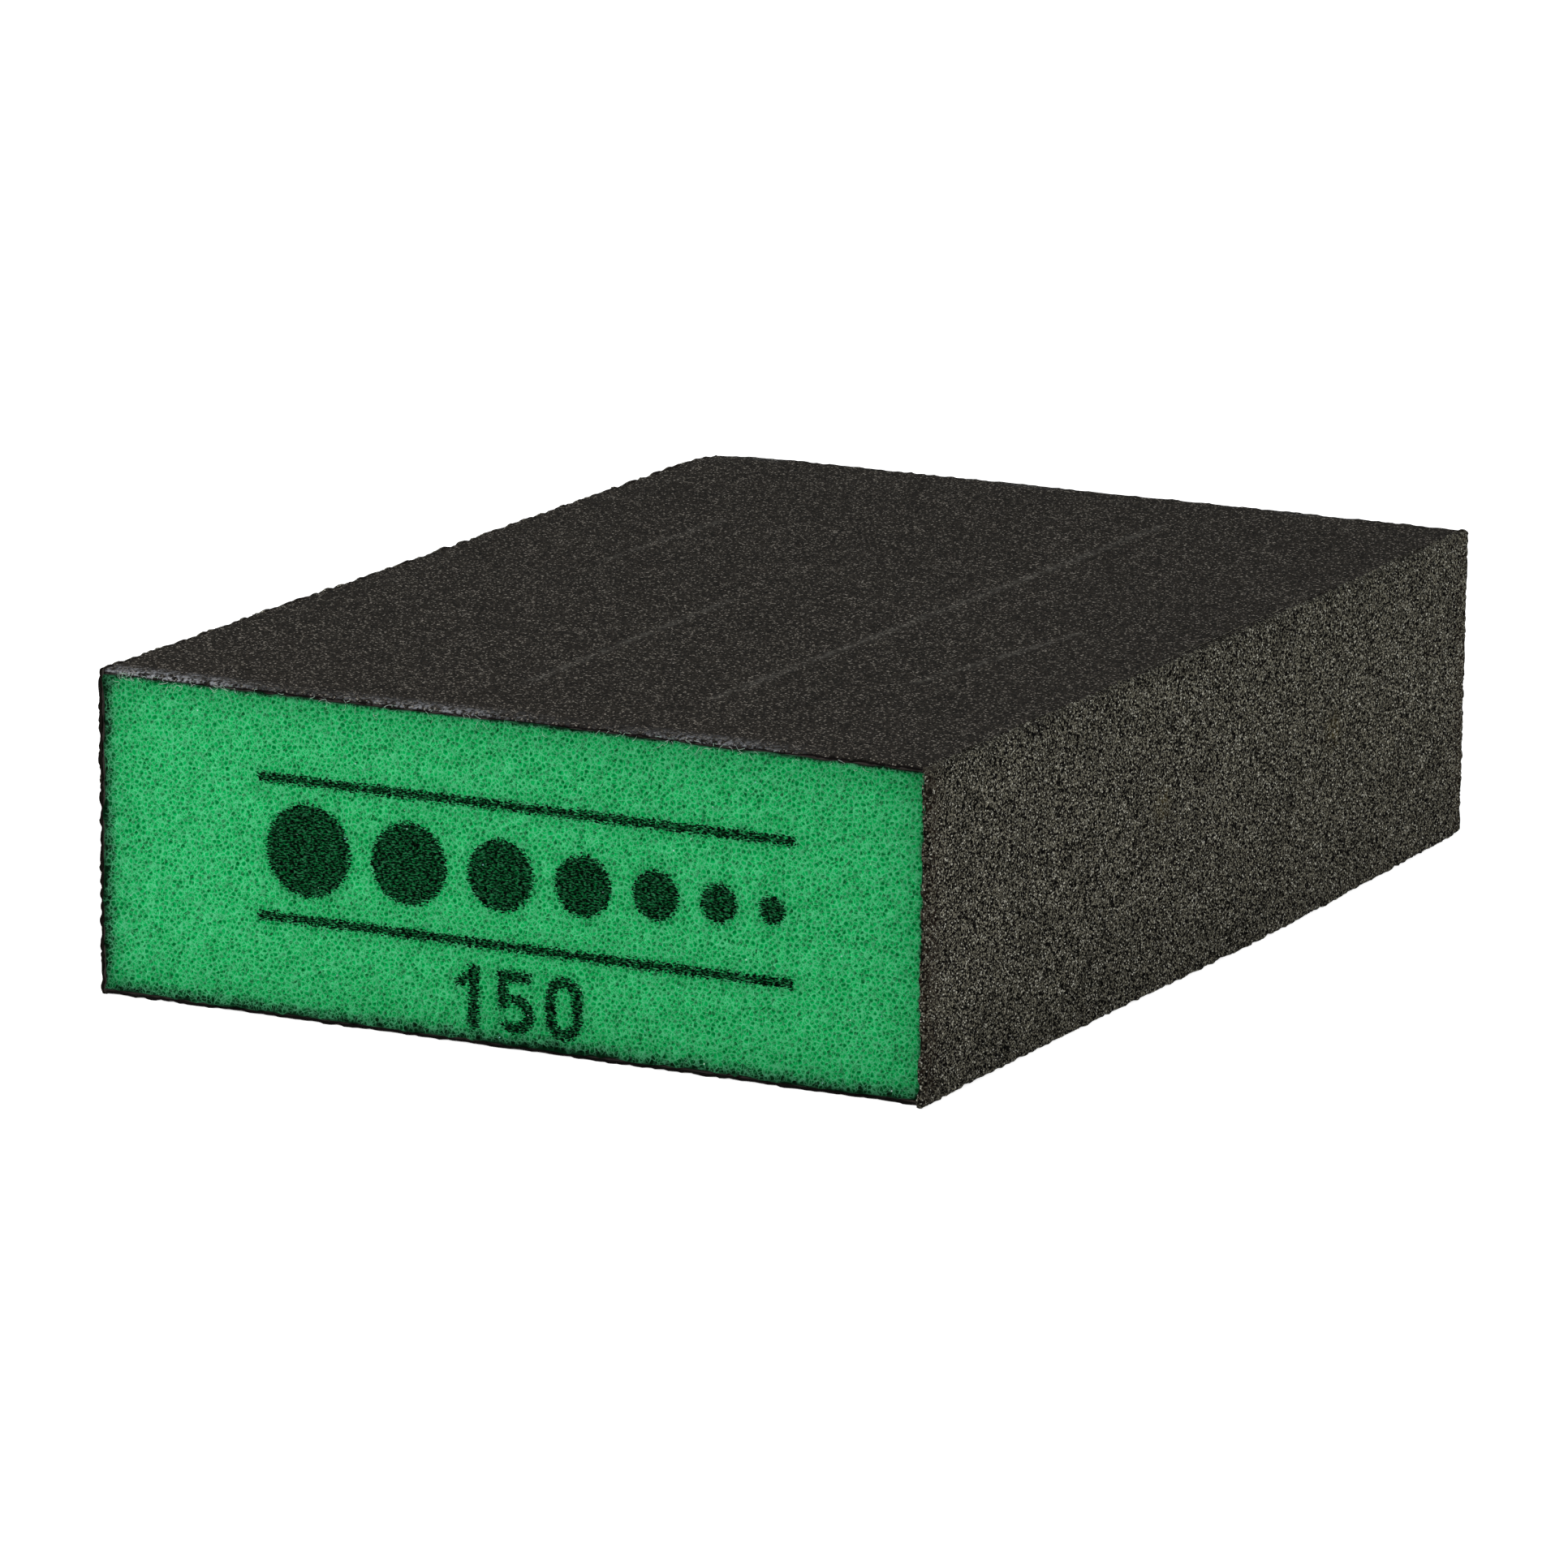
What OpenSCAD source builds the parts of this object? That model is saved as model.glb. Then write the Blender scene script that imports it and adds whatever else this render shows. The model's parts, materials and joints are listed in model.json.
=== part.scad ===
// Foam sanding block: a flexible foam core with a flexible abrasive coat on its four long sides.
// Each coat has two layers, a film of binder on the foam and the grit bedded in resin on top.
// The wide faces are coated first, as a slab, and the slab is then slit. So the coats on the
// narrow sides also cover the slit edges of the wide coats. Both ends are bare foam.
// Origin: middle of the bottom face, +X to the right, +Y from front to rear, +Z up.

/* [Block] */
// Length from the front end to the rear end
block_length = 101.6; // [60:0.1:160]
// Width over the coats
block_width = 69.85; // [40:0.05:120]
// Height over the coats
block_height = 25.4; // [12:0.1:50]
// Radius of the four long outer edges
edge_radius = 0.4; // [0.1:0.05:1]

/* [Coats of the wide faces, top and bottom] */
// Thickness of the binder film
wide_binder = 0.2; // [0.1:0.05:0.5]
// Thickness of the grit
wide_grit = 0.25; // [0.1:0.05:0.8]

/* [Coats of the narrow sides, left and right] */
// Thickness of the binder film
narrow_binder = 0.2; // [0.1:0.05:0.5]
// Thickness of the grit
narrow_grit = 0.3; // [0.1:0.05:0.8]

/* [Colours] */
// Colour of the foam
foam_colour = "#2e9e5c"; // ["#2e9e5c", "#c8862f", "#3f78b5"]
// Colour of the binder films
binder_colour = "#1f1a17"; // ["#1f1a17", "#4a3524"]
// Colour of the grit
grit_colour = "#403d38"; // ["#403d38", "#6d3b32", "#5a5a5a"]

/* [Hidden] */

$fn = 48;
left = -1;
right = 1;

// The foam fills what the coats leave of the width and the height.
wide_coat = wide_binder + wide_grit;
narrow_coat = narrow_binder + narrow_grit;
foam_width = block_width - 2 * narrow_coat;
foam_height = block_height - 2 * wide_coat;

// Where each layer starts, as a height above the bottom face.
bottom_binder_base = wide_grit;
foam_base = wide_coat;
top_binder_base = foam_base + foam_height;
top_grit_base = top_binder_base + wide_binder;

// Where each layer of the narrow sides starts, as a distance from the middle plane.
narrow_binder_start = foam_width / 2;
narrow_grit_start = narrow_binder_start + narrow_binder;

// The cross-section of the whole block, its height along Y, with rounded long edges.
module block_section() {
    corner_x = block_width / 2 - edge_radius;
    corner_z = block_height - edge_radius;
    translate([-block_width / 2, edge_radius])
        square([block_width, block_height - 2 * edge_radius]);
    translate([-corner_x, 0])
        square([2 * corner_x, block_height]);
    for (x = [-corner_x, corner_x], z = [edge_radius, corner_z])
        translate([x, z])
            circle(r = edge_radius);
}

// What lies in one rectangle of the cross-section, over the length of the block.
module strip(x, z, width, height) {
    rotate([90, 0, 0])
        linear_extrude(height = block_length, center = true)
            intersection() {
                block_section();
                translate([x, z])
                    square([width, height]);
            }
}

// A flat layer of the wide coats, between the narrow ones.
module wide_layer(base, thickness) {
    strip(-foam_width / 2, base, foam_width, thickness);
}

// An upright layer of the narrow coats, over the full height.
module narrow_layer(side, start, thickness) {
    x = side == left ? -start - thickness : start;
    strip(x, 0, thickness, block_height);
}

module foam_core() {
    color(foam_colour) strip(-foam_width / 2, foam_base, foam_width, foam_height);
}

module top_binder() {
    color(binder_colour) wide_layer(top_binder_base, wide_binder);
}

module top_grit() {
    color(grit_colour) wide_layer(top_grit_base, wide_grit);
}

module bottom_binder() {
    color(binder_colour) wide_layer(bottom_binder_base, wide_binder);
}

module bottom_grit() {
    color(grit_colour) wide_layer(0, wide_grit);
}

module side_binder(side) {
    color(binder_colour) narrow_layer(side, narrow_binder_start, narrow_binder);
}

module side_grit(side) {
    color(grit_colour) narrow_layer(side, narrow_grit_start, narrow_grit);
}

foam_core();
top_binder();
top_grit();
bottom_binder();
bottom_grit();
side_binder(left);  // left_binder
side_grit(left);  // left_grit
side_binder(right);  // right_binder
side_grit(right);  // right_grit
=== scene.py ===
import json
import math

import bmesh
import bpy
import numpy as np
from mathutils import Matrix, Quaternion, Vector
from mathutils.geometry import delaunay_2d_cdt

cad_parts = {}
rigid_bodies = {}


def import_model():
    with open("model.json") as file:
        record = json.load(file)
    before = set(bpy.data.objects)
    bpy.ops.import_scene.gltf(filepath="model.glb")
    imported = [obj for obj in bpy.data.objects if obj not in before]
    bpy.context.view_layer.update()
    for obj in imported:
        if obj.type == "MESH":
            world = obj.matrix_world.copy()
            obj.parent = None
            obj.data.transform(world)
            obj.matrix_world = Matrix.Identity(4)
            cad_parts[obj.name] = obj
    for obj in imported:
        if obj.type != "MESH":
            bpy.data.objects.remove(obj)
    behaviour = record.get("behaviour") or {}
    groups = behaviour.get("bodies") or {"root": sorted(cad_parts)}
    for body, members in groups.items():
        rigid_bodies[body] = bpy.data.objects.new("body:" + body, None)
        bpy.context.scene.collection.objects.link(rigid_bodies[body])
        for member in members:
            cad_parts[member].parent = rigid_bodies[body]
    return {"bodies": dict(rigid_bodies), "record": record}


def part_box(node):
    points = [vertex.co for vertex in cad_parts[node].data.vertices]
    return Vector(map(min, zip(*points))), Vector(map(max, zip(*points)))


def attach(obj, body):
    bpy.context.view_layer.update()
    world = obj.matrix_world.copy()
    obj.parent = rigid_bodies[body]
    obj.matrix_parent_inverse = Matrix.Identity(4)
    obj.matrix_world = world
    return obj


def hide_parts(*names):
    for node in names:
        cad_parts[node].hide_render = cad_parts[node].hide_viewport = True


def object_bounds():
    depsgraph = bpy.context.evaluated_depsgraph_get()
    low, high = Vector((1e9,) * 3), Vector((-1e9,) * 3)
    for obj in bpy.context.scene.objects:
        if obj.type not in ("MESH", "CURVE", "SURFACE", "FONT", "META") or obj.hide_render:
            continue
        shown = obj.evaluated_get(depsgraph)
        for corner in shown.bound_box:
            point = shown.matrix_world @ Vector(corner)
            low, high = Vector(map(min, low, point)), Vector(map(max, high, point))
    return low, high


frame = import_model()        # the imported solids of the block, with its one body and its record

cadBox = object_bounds()     # the box of the solids, before anything is dressed
mm = 0.001
body = next(iter(frame["bodies"]))
mixed = {"data_type": "RGBA"}
shaded = {"data_type": "RGBA", "blend_type": "MULTIPLY"}
multiply = {"operation": "MULTIPLY"}
multiplyAdd = {"operation": "MULTIPLY_ADD"}
smoothRange = {"interpolation_type": "SMOOTHSTEP"}


def linearColour(hexCode):
    channels = [int(hexCode[i:i + 2], 16) / 255 for i in (1, 3, 5)]
    return [c / 12.92 if c <= 0.04045 else ((c + 0.055) / 1.055) ** 2.4 for c in channels] + [1]


def addNode(tree, kind, settings=None, inputs=None):  # an input is a value, a hex colour, a socket or a node
    node = tree.nodes.new("ShaderNode" + kind)
    for name, value in (settings or {}).items():
        setattr(node, name, value)
    for socket, value in (inputs or {}).items():
        if isinstance(value, str):
            value = linearColour(value)
        if isinstance(value, bpy.types.Node):
            value = next(output for output in value.outputs if output.enabled)
        if isinstance(value, bpy.types.NodeSocket):
            tree.links.new(value, node.inputs[socket])
        else:
            node.inputs[socket].default_value = value
    return node


def startMaterial(name):  # with the place on the block as its texture coordinate
    material = bpy.data.materials.new(name)
    material.use_nodes = True
    tree = material.node_tree
    tree.nodes.remove(tree.nodes["Principled BSDF"])
    place = addNode(tree, "TexCoord").outputs["Object"]
    return material, tree, place


def endMaterial(tree, surface):
    tree.links.new(surface.outputs[0], tree.nodes["Material Output"].inputs["Surface"])


def endBumped(tree, s, colour, roughness, height):  # a surface that isn't metal, with a bump
    bump = addNode(tree, "Bump", {}, {
        "Strength": s["bump"], "Distance": s["bumpHeight"] * mm, "Height": height})
    endMaterial(tree, addNode(tree, "BsdfPrincipled", {}, {
        "Base Color": colour, "Roughness": roughness, "Normal": bump, "Specular IOR Level": s["specular"]}))


def layered(tree, colour, layers):  # lays colours over one, each with how it blends and factors of its share
    for blend, over, share, *factors in layers:
        for factor in factors:
            share = addNode(tree, "Math", multiply, {0: share, 1: factor})
        colour = addNode(tree, "Mix", blend, {0: share, 6: colour, 7: over})
    return colour


def sized(place, size, **others):  # the inputs of a texture with features of this size in mm
    return {"Vector": place, "Scale": 1 / (size * mm), **others}


def ranged(source, limits):  # from, to, and what it gives at each of them where that isn't 0 and 1
    return dict(zip(("Value", "From Min", "From Max", "To Min", "To Max"), (source, *limits)))


def inMm(corners):
    return (np.array(corner) / mm for corner in corners)


def softNoise(u, v, size, seed):  # smooth random field from -1 to 1, bumps about size apart, all in mm
    n, shift = 256, 500      # the lattice repeats after n bumps, and starts far from the block
    lattice = np.random.default_rng(seed).uniform(-1, 1, (n, n))
    a, b = u / size + shift, v / size + shift
    i, j = np.floor(a).astype(int), np.floor(b).astype(int)
    s, t = a - i, b - j
    s, t = s * s * (3 - 2 * s), t * t * (3 - 2 * t)
    low = lattice[i % n, j % n] * (1 - s) + lattice[(i + 1) % n, j % n] * s
    high = lattice[i % n, (j + 1) % n] * (1 - s) + lattice[(i + 1) % n, (j + 1) % n] * s
    return low * (1 - t) + high * t


def unitNoise(u, v, size, seed):  # the same from 0 to 1
    return 0.5 + 0.5 * softNoise(u, v, size, seed)


def smoothStep(x, low, high):
    t = np.clip((x - low) / (high - low), 0, 1)
    return t * t * (3 - 2 * t)


blockShape = {               # how the soft block strays from a true box, in mm
    "topUneven": 0.06,
    "sideUneven": 0.06,
    "unevenSize": 19.0,
    "sideStretch": 1.7,      # the sides' bumps are this much shorter than long
    "rearLift": 0.14,        # of the top face, from its middle to the rear end
    "droop": 0.30,           # of the rear left top corner
    "droopReach": 5.0,
    "bulge": 0.65,           # of the right face, near the floor
    "bulgeMiddle": 8.0,      # its place along the block, and its spread
    "bulgeSpread": 26.0,
    "bulgeFade": 0.7,        # the share of it that is gone at the top
    "pinch": 0.20,           # of the same face, at the rear end
    "pinchReach": 10.0,
    "seed": 5,
}


def settled(points, s=blockShape):  # the whole block's own unevenness, which keeps its pieces together
    low, high = inMm(cadBox)
    x, y, z = points.T
    risen = np.clip((z - low[2]) / (high[2] - low[2]), 0, 1)
    corner = smoothStep(low[0] + s["droopReach"] - x, 0, s["droopReach"]) \
        * smoothStep(y - high[1] + s["droopReach"], 0, s["droopReach"])
    rise = s["topUneven"] * softNoise(x, y, s["unevenSize"], s["seed"]) \
        + s["rearLift"] * smoothStep(y, 0, high[1]) - s["droop"] * corner
    outward = s["sideUneven"] * softNoise(y, z * s["sideStretch"], s["unevenSize"], s["seed"] + 1)
    swell = s["bulge"] * np.exp(-((y - s["bulgeMiddle"]) / s["bulgeSpread"]) ** 2) \
        - s["pinch"] * smoothStep(y, high[1] - s["pinchReach"], high[1])
    outward = outward + np.where(x > 0, swell * (1 - s["bulgeFade"] * risen), 0)
    return np.column_stack([x + outward * x / high[0], y, np.maximum(z + risen * rise, 0)])


sharpAngle = math.radians(75)   # faces that meet at more than this don't share their shading


def meshPiece(name, points, faces, values=None, cornerValues=None):  # points in mm
    mesh = bpy.data.meshes.new(name)
    mesh.from_pydata((points * mm).tolist(), [], faces)
    mesh.update()
    for kind, domain, field, table in (("FLOAT", "POINT", "value", values),
                                       ("FLOAT_VECTOR", "CORNER", "vector", cornerValues)):
        for key, numbers in (table or {}).items():
            layer = mesh.attributes.new(key, kind, domain)
            layer.data.foreach_set(field, np.asarray(numbers, dtype=np.float32).ravel())
    outward = bmesh.new()
    outward.from_mesh(mesh)
    bmesh.ops.recalc_face_normals(outward, faces=outward.faces)
    outward.to_mesh(mesh)
    outward.free()
    mesh.polygons.foreach_set("use_smooth", [True] * len(mesh.polygons))
    mesh.set_sharp_from_angle(angle=sharpAngle)
    piece = bpy.data.objects.new(name, mesh)
    bpy.context.scene.collection.objects.link(piece)
    return piece


cameraSettings = {
    "aim": Vector((-1.7, -1.2, 10.3)) * mm,
    "azimuth": 26.59,        # degrees round from the front end, towards the right side
    "elevation": 12.75,
    "distance": 706 * mm,
    "roll": 0.63,
    "lens": 204.9,           # on a 36 mm sensor
}
lightSettings = {
    "worldStrength": 0.36,
    "keyPlace": Vector((-290, -280, 200)) * mm,
    "keySize": 240 * mm,
    "keyPower": 1.63,
    "sidePlace": Vector((430, 80, 220)) * mm,
    "sideSize": 300 * mm,
    "sidePower": 0.68,
    "floorSize": 4000 * mm,
    "floorColour": "#F2F2F2",
    "floorGlow": 0.72,       # what the camera sees on top of the lit floor, next to the block
    "glowReach": (0.07, 0.26),   # metres from the block's middle, over which it rises to plain white
}


def makeCamera(s):
    azimuth, elevation = math.radians(s["azimuth"]), math.radians(s["elevation"])
    back = Vector((math.sin(azimuth) * math.cos(elevation), -math.cos(azimuth) * math.cos(elevation),
                   math.sin(elevation)))
    camera = bpy.data.objects.new("camera", bpy.data.cameras.new("camera"))
    camera.data.lens = s["lens"]
    camera.data.clip_start = 10 * mm
    camera.location = s["aim"] + back * s["distance"]
    camera.rotation_mode = "QUATERNION"
    roll = Quaternion((0, 0, 1), math.radians(s["roll"]))
    camera.rotation_quaternion = (-back).to_track_quat("-Z", "Y") @ roll
    bpy.context.scene.collection.objects.link(camera)
    bpy.context.scene.camera = camera


def makeLamp(name, place, size, power, target):
    lamp = bpy.data.objects.new(name, bpy.data.lights.new(name, "AREA"))
    lamp.data.shape = "DISK"
    lamp.data.size = size
    lamp.data.energy = power
    lamp.location = place
    lamp.rotation_mode = "QUATERNION"
    lamp.rotation_quaternion = (target - place).to_track_quat("-Z", "Y")
    lamp.visible_camera = False
    bpy.context.scene.collection.objects.link(lamp)


def makeStage(s):
    world = bpy.data.worlds.new("world")
    world.use_nodes = True
    tree = world.node_tree
    seen = addNode(tree, "LightPath").outputs["Is Camera Ray"]
    strength = addNode(tree, "MapRange", {}, ranged(seen, (0, 1, s["worldStrength"])))
    background = tree.nodes["Background"]
    background.inputs["Color"].default_value = (1, 1, 1, 1)
    tree.links.new(strength.outputs[0], background.inputs["Strength"])
    bpy.context.scene.world = world
    half = s["floorSize"] / 2 / mm
    corners = np.array([(-half, -half, 0), (half, -half, 0), (half, half, 0), (-half, half, 0)])
    floor = meshPiece("studioFloor", corners, [(0, 1, 2, 3)])
    # matt white painted board: it takes the block's shadow, and fades to plain white further off
    material, tree, place = startMaterial("mattPaintedBoard")
    away = addNode(tree, "VectorMath", {"operation": "LENGTH"}, {0: place}).outputs["Value"]
    strength = addNode(tree, "MapRange", smoothRange, ranged(away, (*s["glowReach"], s["floorGlow"])))
    glow = addNode(tree, "Emission", {}, {"Strength": strength})
    board = addNode(tree, "BsdfPrincipled", {}, {
        "Base Color": s["floorColour"], "Roughness": 0.9, "Specular IOR Level": 0.0})
    seen = addNode(tree, "LightPath").outputs["Is Camera Ray"]
    lit = addNode(tree, "AddShader", {}, {0: board, 1: glow})
    both = addNode(tree, "MixShader", {}, {0: seen, 1: board, 2: lit})
    endMaterial(tree, both)
    floor.data.materials.append(material)


bpy.context.scene.view_settings.view_transform = "Standard"
makeCamera(cameraSettings)
for lampName in ("key", "side"):
    makeLamp(lampName + "Lamp", lightSettings[lampName + "Place"], lightSettings[lampName + "Size"],
             lightSettings[lampName + "Power"], cameraSettings["aim"])
makeStage(lightSettings)
print("stage: camera, lamps and floor made")


printSettings = {            # a generic gauge of dots, coarse to fine, over a plain number, in mm
    "gaugeLeft": -21.0, "gaugeRight": 24.0,
    "ruleTop": 18.6, "ruleBottom": 7.9, "ruleWidth": 0.7,
    "dotCount": 7, "largestDot": 7.2, "smallestDot": 2.1,
    "numberLeft": -4.2, "numberBase": 1.2, "numberHeight": 5.0, "strokeWidth": 1.05,
    "digitWidth": 3.3, "digitGap": 0.75,
    "numberFade": 0.10,      # the number is printed thinner than the gauge
}


farFromInk = 3               # mm, and further doesn't matter


def boxDistance(x, z, centreX, centreZ, halfX, halfZ, corner=0.0):
    dx, dz = np.abs(x - centreX) - halfX + corner, np.abs(z - centreZ) - halfZ + corner
    return (np.hypot(np.maximum(dx, 0), np.maximum(dz, 0))
            + np.minimum(np.maximum(dx, dz), 0) - corner)


def strokeDistance(x, z, start, end, width):
    ax, az = start
    bx, bz = end[0] - ax, end[1] - az
    t = np.clip(((x - ax) * bx + (z - az) * bz) / (bx * bx + bz * bz), 0, 1)
    return np.hypot(x - ax - t * bx, z - az - t * bz) - width / 2


def ringDistance(x, z, centreX, centreZ, halfX, halfZ, width):
    outline = boxDistance(x, z, centreX, centreZ, halfX - width / 2, halfZ - width / 2,
                          min(halfX, halfZ) - width / 2)
    return np.abs(outline) - width / 2


def numberDistance(x, z, s):  # the number 150, its digits drawn by shares of their height and width
    base, height, width, half = s["numberBase"], s["numberHeight"], s["strokeWidth"], s["digitWidth"] / 2
    top = base + height
    one = s["numberLeft"] + half
    upright = boxDistance(x, z, one, base + height / 2, width / 2, height / 2)
    flag = strokeDistance(x, z, (one - half * 0.75, top - width * 1.4), (one, top - width / 2), width * 0.8)
    five = one + s["digitWidth"] * 0.85 + s["digitGap"]
    bar = boxDistance(x, z, five, top - width / 2, half * 0.85, width / 2)
    neck = boxDistance(x, z, five - half + width / 2, base + height * 0.68, width / 2, height * 0.3)
    bowl = ringDistance(x, z, five, base + height * 0.32, half, height * 0.32, width)
    gap = boxDistance(x, z, five - half, base + height * 0.34, half * 0.9, height * 0.13)
    zero = five + s["digitWidth"] + s["digitGap"]
    ring = ringDistance(x, z, zero, base + height / 2, half, height / 2, width)
    return np.min([upright, flag, bar, neck, np.maximum(bowl, -gap), ring], axis=0)


def printDistance(x, z, s):  # mm to the nearest ink, negative inside it
    middle, span = (s["ruleTop"] + s["ruleBottom"]) / 2, s["gaugeRight"] - s["gaugeLeft"]
    shapes = [boxDistance(x, z, s["gaugeLeft"] + span / 2, height, span / 2, s["ruleWidth"] / 2, 0.2)
              for height in (s["ruleTop"], s["ruleBottom"])]
    sizes = np.linspace(s["largestDot"], s["smallestDot"], s["dotCount"])
    gap = (span - 2 * s["ruleWidth"] - sizes.sum()) / (s["dotCount"] - 1)
    left = s["gaugeLeft"] + s["ruleWidth"]
    for size in sizes:
        shapes.append(np.hypot(x - left - size / 2, z - middle) - size / 2)
        left += size + gap
    shapes.append(numberDistance(x, z, s) + s["numberFade"])
    return np.min(shapes, axis=0)


foamCore = {
    "cellSpacing": 0.45,     # mm between the middles of neighbouring cells
    "cellStray": 0.42,       # how far a cell strays, as a share of the spacing
    "crowding": 0.12,        # mm that cells are drawn together or apart
    "crowdingSize": 2.6,
    "cellMargin": 0.12,      # the least distance from a border, as a share of the spacing
    "joinedShare": 0.06,     # of the cells, whose room their neighbours take
    "poreRadii": (0.05, 0.20),   # mm, of the round mouth of a pore
    "widestPore": 0.72,      # its radius as a share of its cell's, at most
    "poreOff": 0.3,          # how far it sits towards a corner of the cell, at most
    "mouthReach": 0.8,       # how far its mouth reaches towards the struts, at most
    "mouthStray": (0.6, 1.4),    # of its depth
    "strutRecess": 0.09,     # mm that the struts lie at most behind the cut plane
    "recessPower": 1.5,      # above 1, more of them lie near that plane
    "poreEdge": 0.05,        # mm that a pore's mouth lies below the struts
    "poreDepths": (0.05, 0.14),  # mm from the mouth to the floor of a pore
    "closedTone": 0.15,      # cells closed further than this have no pore
    "closedDepth": 0.05,     # mm that their skin sags
    "skinKind": 0.6,         # how deep skins and mouths look, from 0 for a strut to 1 for a pore's floor
    "borderTear": 0.16,      # mm that the border of a cut end strays in or out at most
    "tearSize": 0.45,        # of those bites, and how far into the end they pull the cells
    "tearReach": 0.4,
    "seed": 11,
    "soakZones": {"left": 1.4, "right": 0.4, "top": 0.3, "bottom": 1.4},   # mm
    "borderShade": 0.38,     # of the light that the foam right next to the coats doesn't send back
    "borderReach": 1.7,      # mm over which that fades
}


tiny = 1e-6                  # mm, for points on the same line
mergeReach = 1e-7            # mm, within which the triangulation takes points as one
noPore = 0.01                # the radius in mm that closed cells are given


def cellSeeds(width, height, s, rng):  # a jittered honeycomb that fills the rectangle
    spacing = s["cellSpacing"]
    columns, rows = round(width / spacing), round(height / (spacing * math.sqrt(0.75)))
    row, column = np.mgrid[0:rows, 0:columns]
    x = ((column + 0.25 + 0.5 * (row % 2)) * width / columns).ravel()
    z = ((row + 0.5) * height / rows).ravel()
    stray, crowd = spacing * s["cellStray"], s["crowding"]
    warpX, warpZ = (crowd * softNoise(x, z, s["crowdingSize"], s["seed"] + k) for k in (1, 2))
    x = x + warpX + rng.uniform(-stray, stray, x.shape)
    z = z + warpZ + rng.uniform(-stray, stray, z.shape)
    margin = spacing * s["cellMargin"]
    seeds = np.column_stack([np.clip(x, margin, width - margin), np.clip(z, margin, height - margin)])
    return seeds[rng.uniform(size=len(seeds)) > s["joinedShare"]]


def voronoiCells(seeds, width, height, spacing):  # corner points, and each cell's corners in order
    near = 3 * spacing       # cells further in don't feel the border
    mirrored = [seeds]
    for axis, size in ((0, width), (1, height)):
        sofar = np.vstack(mirrored)
        for edge in (0, size):
            close = sofar[np.abs(sofar[:, axis] - edge) < near].copy()
            close[:, axis] = 2 * edge - close[:, axis]
            mirrored.append(close)
    points = np.vstack(mirrored)
    triangles = delaunay_2d_cdt([Vector(p) for p in points.tolist()], [], [], 0, mergeReach)
    source = [ids[0] for ids in triangles[3]]
    corners = np.array([[source[i] for i in face] for face in triangles[2]])
    # a cell's corners are the middles of the circles round the triangles
    around = points[corners]
    span = np.roll(around, -1, axis=1) - np.roll(around, 1, axis=1)
    squares = (around ** 2).sum(2)
    twice = 2 * (around[:, :, 0] * span[:, :, 1]).sum(1)
    centres = np.column_stack([(squares * span[:, :, 1]).sum(1) / twice,
                               -(squares * span[:, :, 0]).sum(1) / twice])
    touching = [[] for _ in range(len(seeds))]
    for t, face in enumerate(corners.tolist()):
        for p in face:
            if p < len(seeds):
                touching[p].append(t)
    shared, rim, cells = {}, [], []
    for p, around in enumerate(touching):
        offset = centres[around] - seeds[p]
        ring = []
        for t in np.array(around)[np.argsort(np.arctan2(offset[:, 1], offset[:, 0]))]:
            key = tuple(centres[t].round(3))   # corners within a micrometre are one
            if key not in shared:
                shared[key] = len(rim)
                rim.append(centres[t])
            if not ring or (ring[-1] != shared[key] and ring[0] != shared[key]):
                ring.append(shared[key])
        cells.append(ring)
    return np.array(rim), cells


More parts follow.
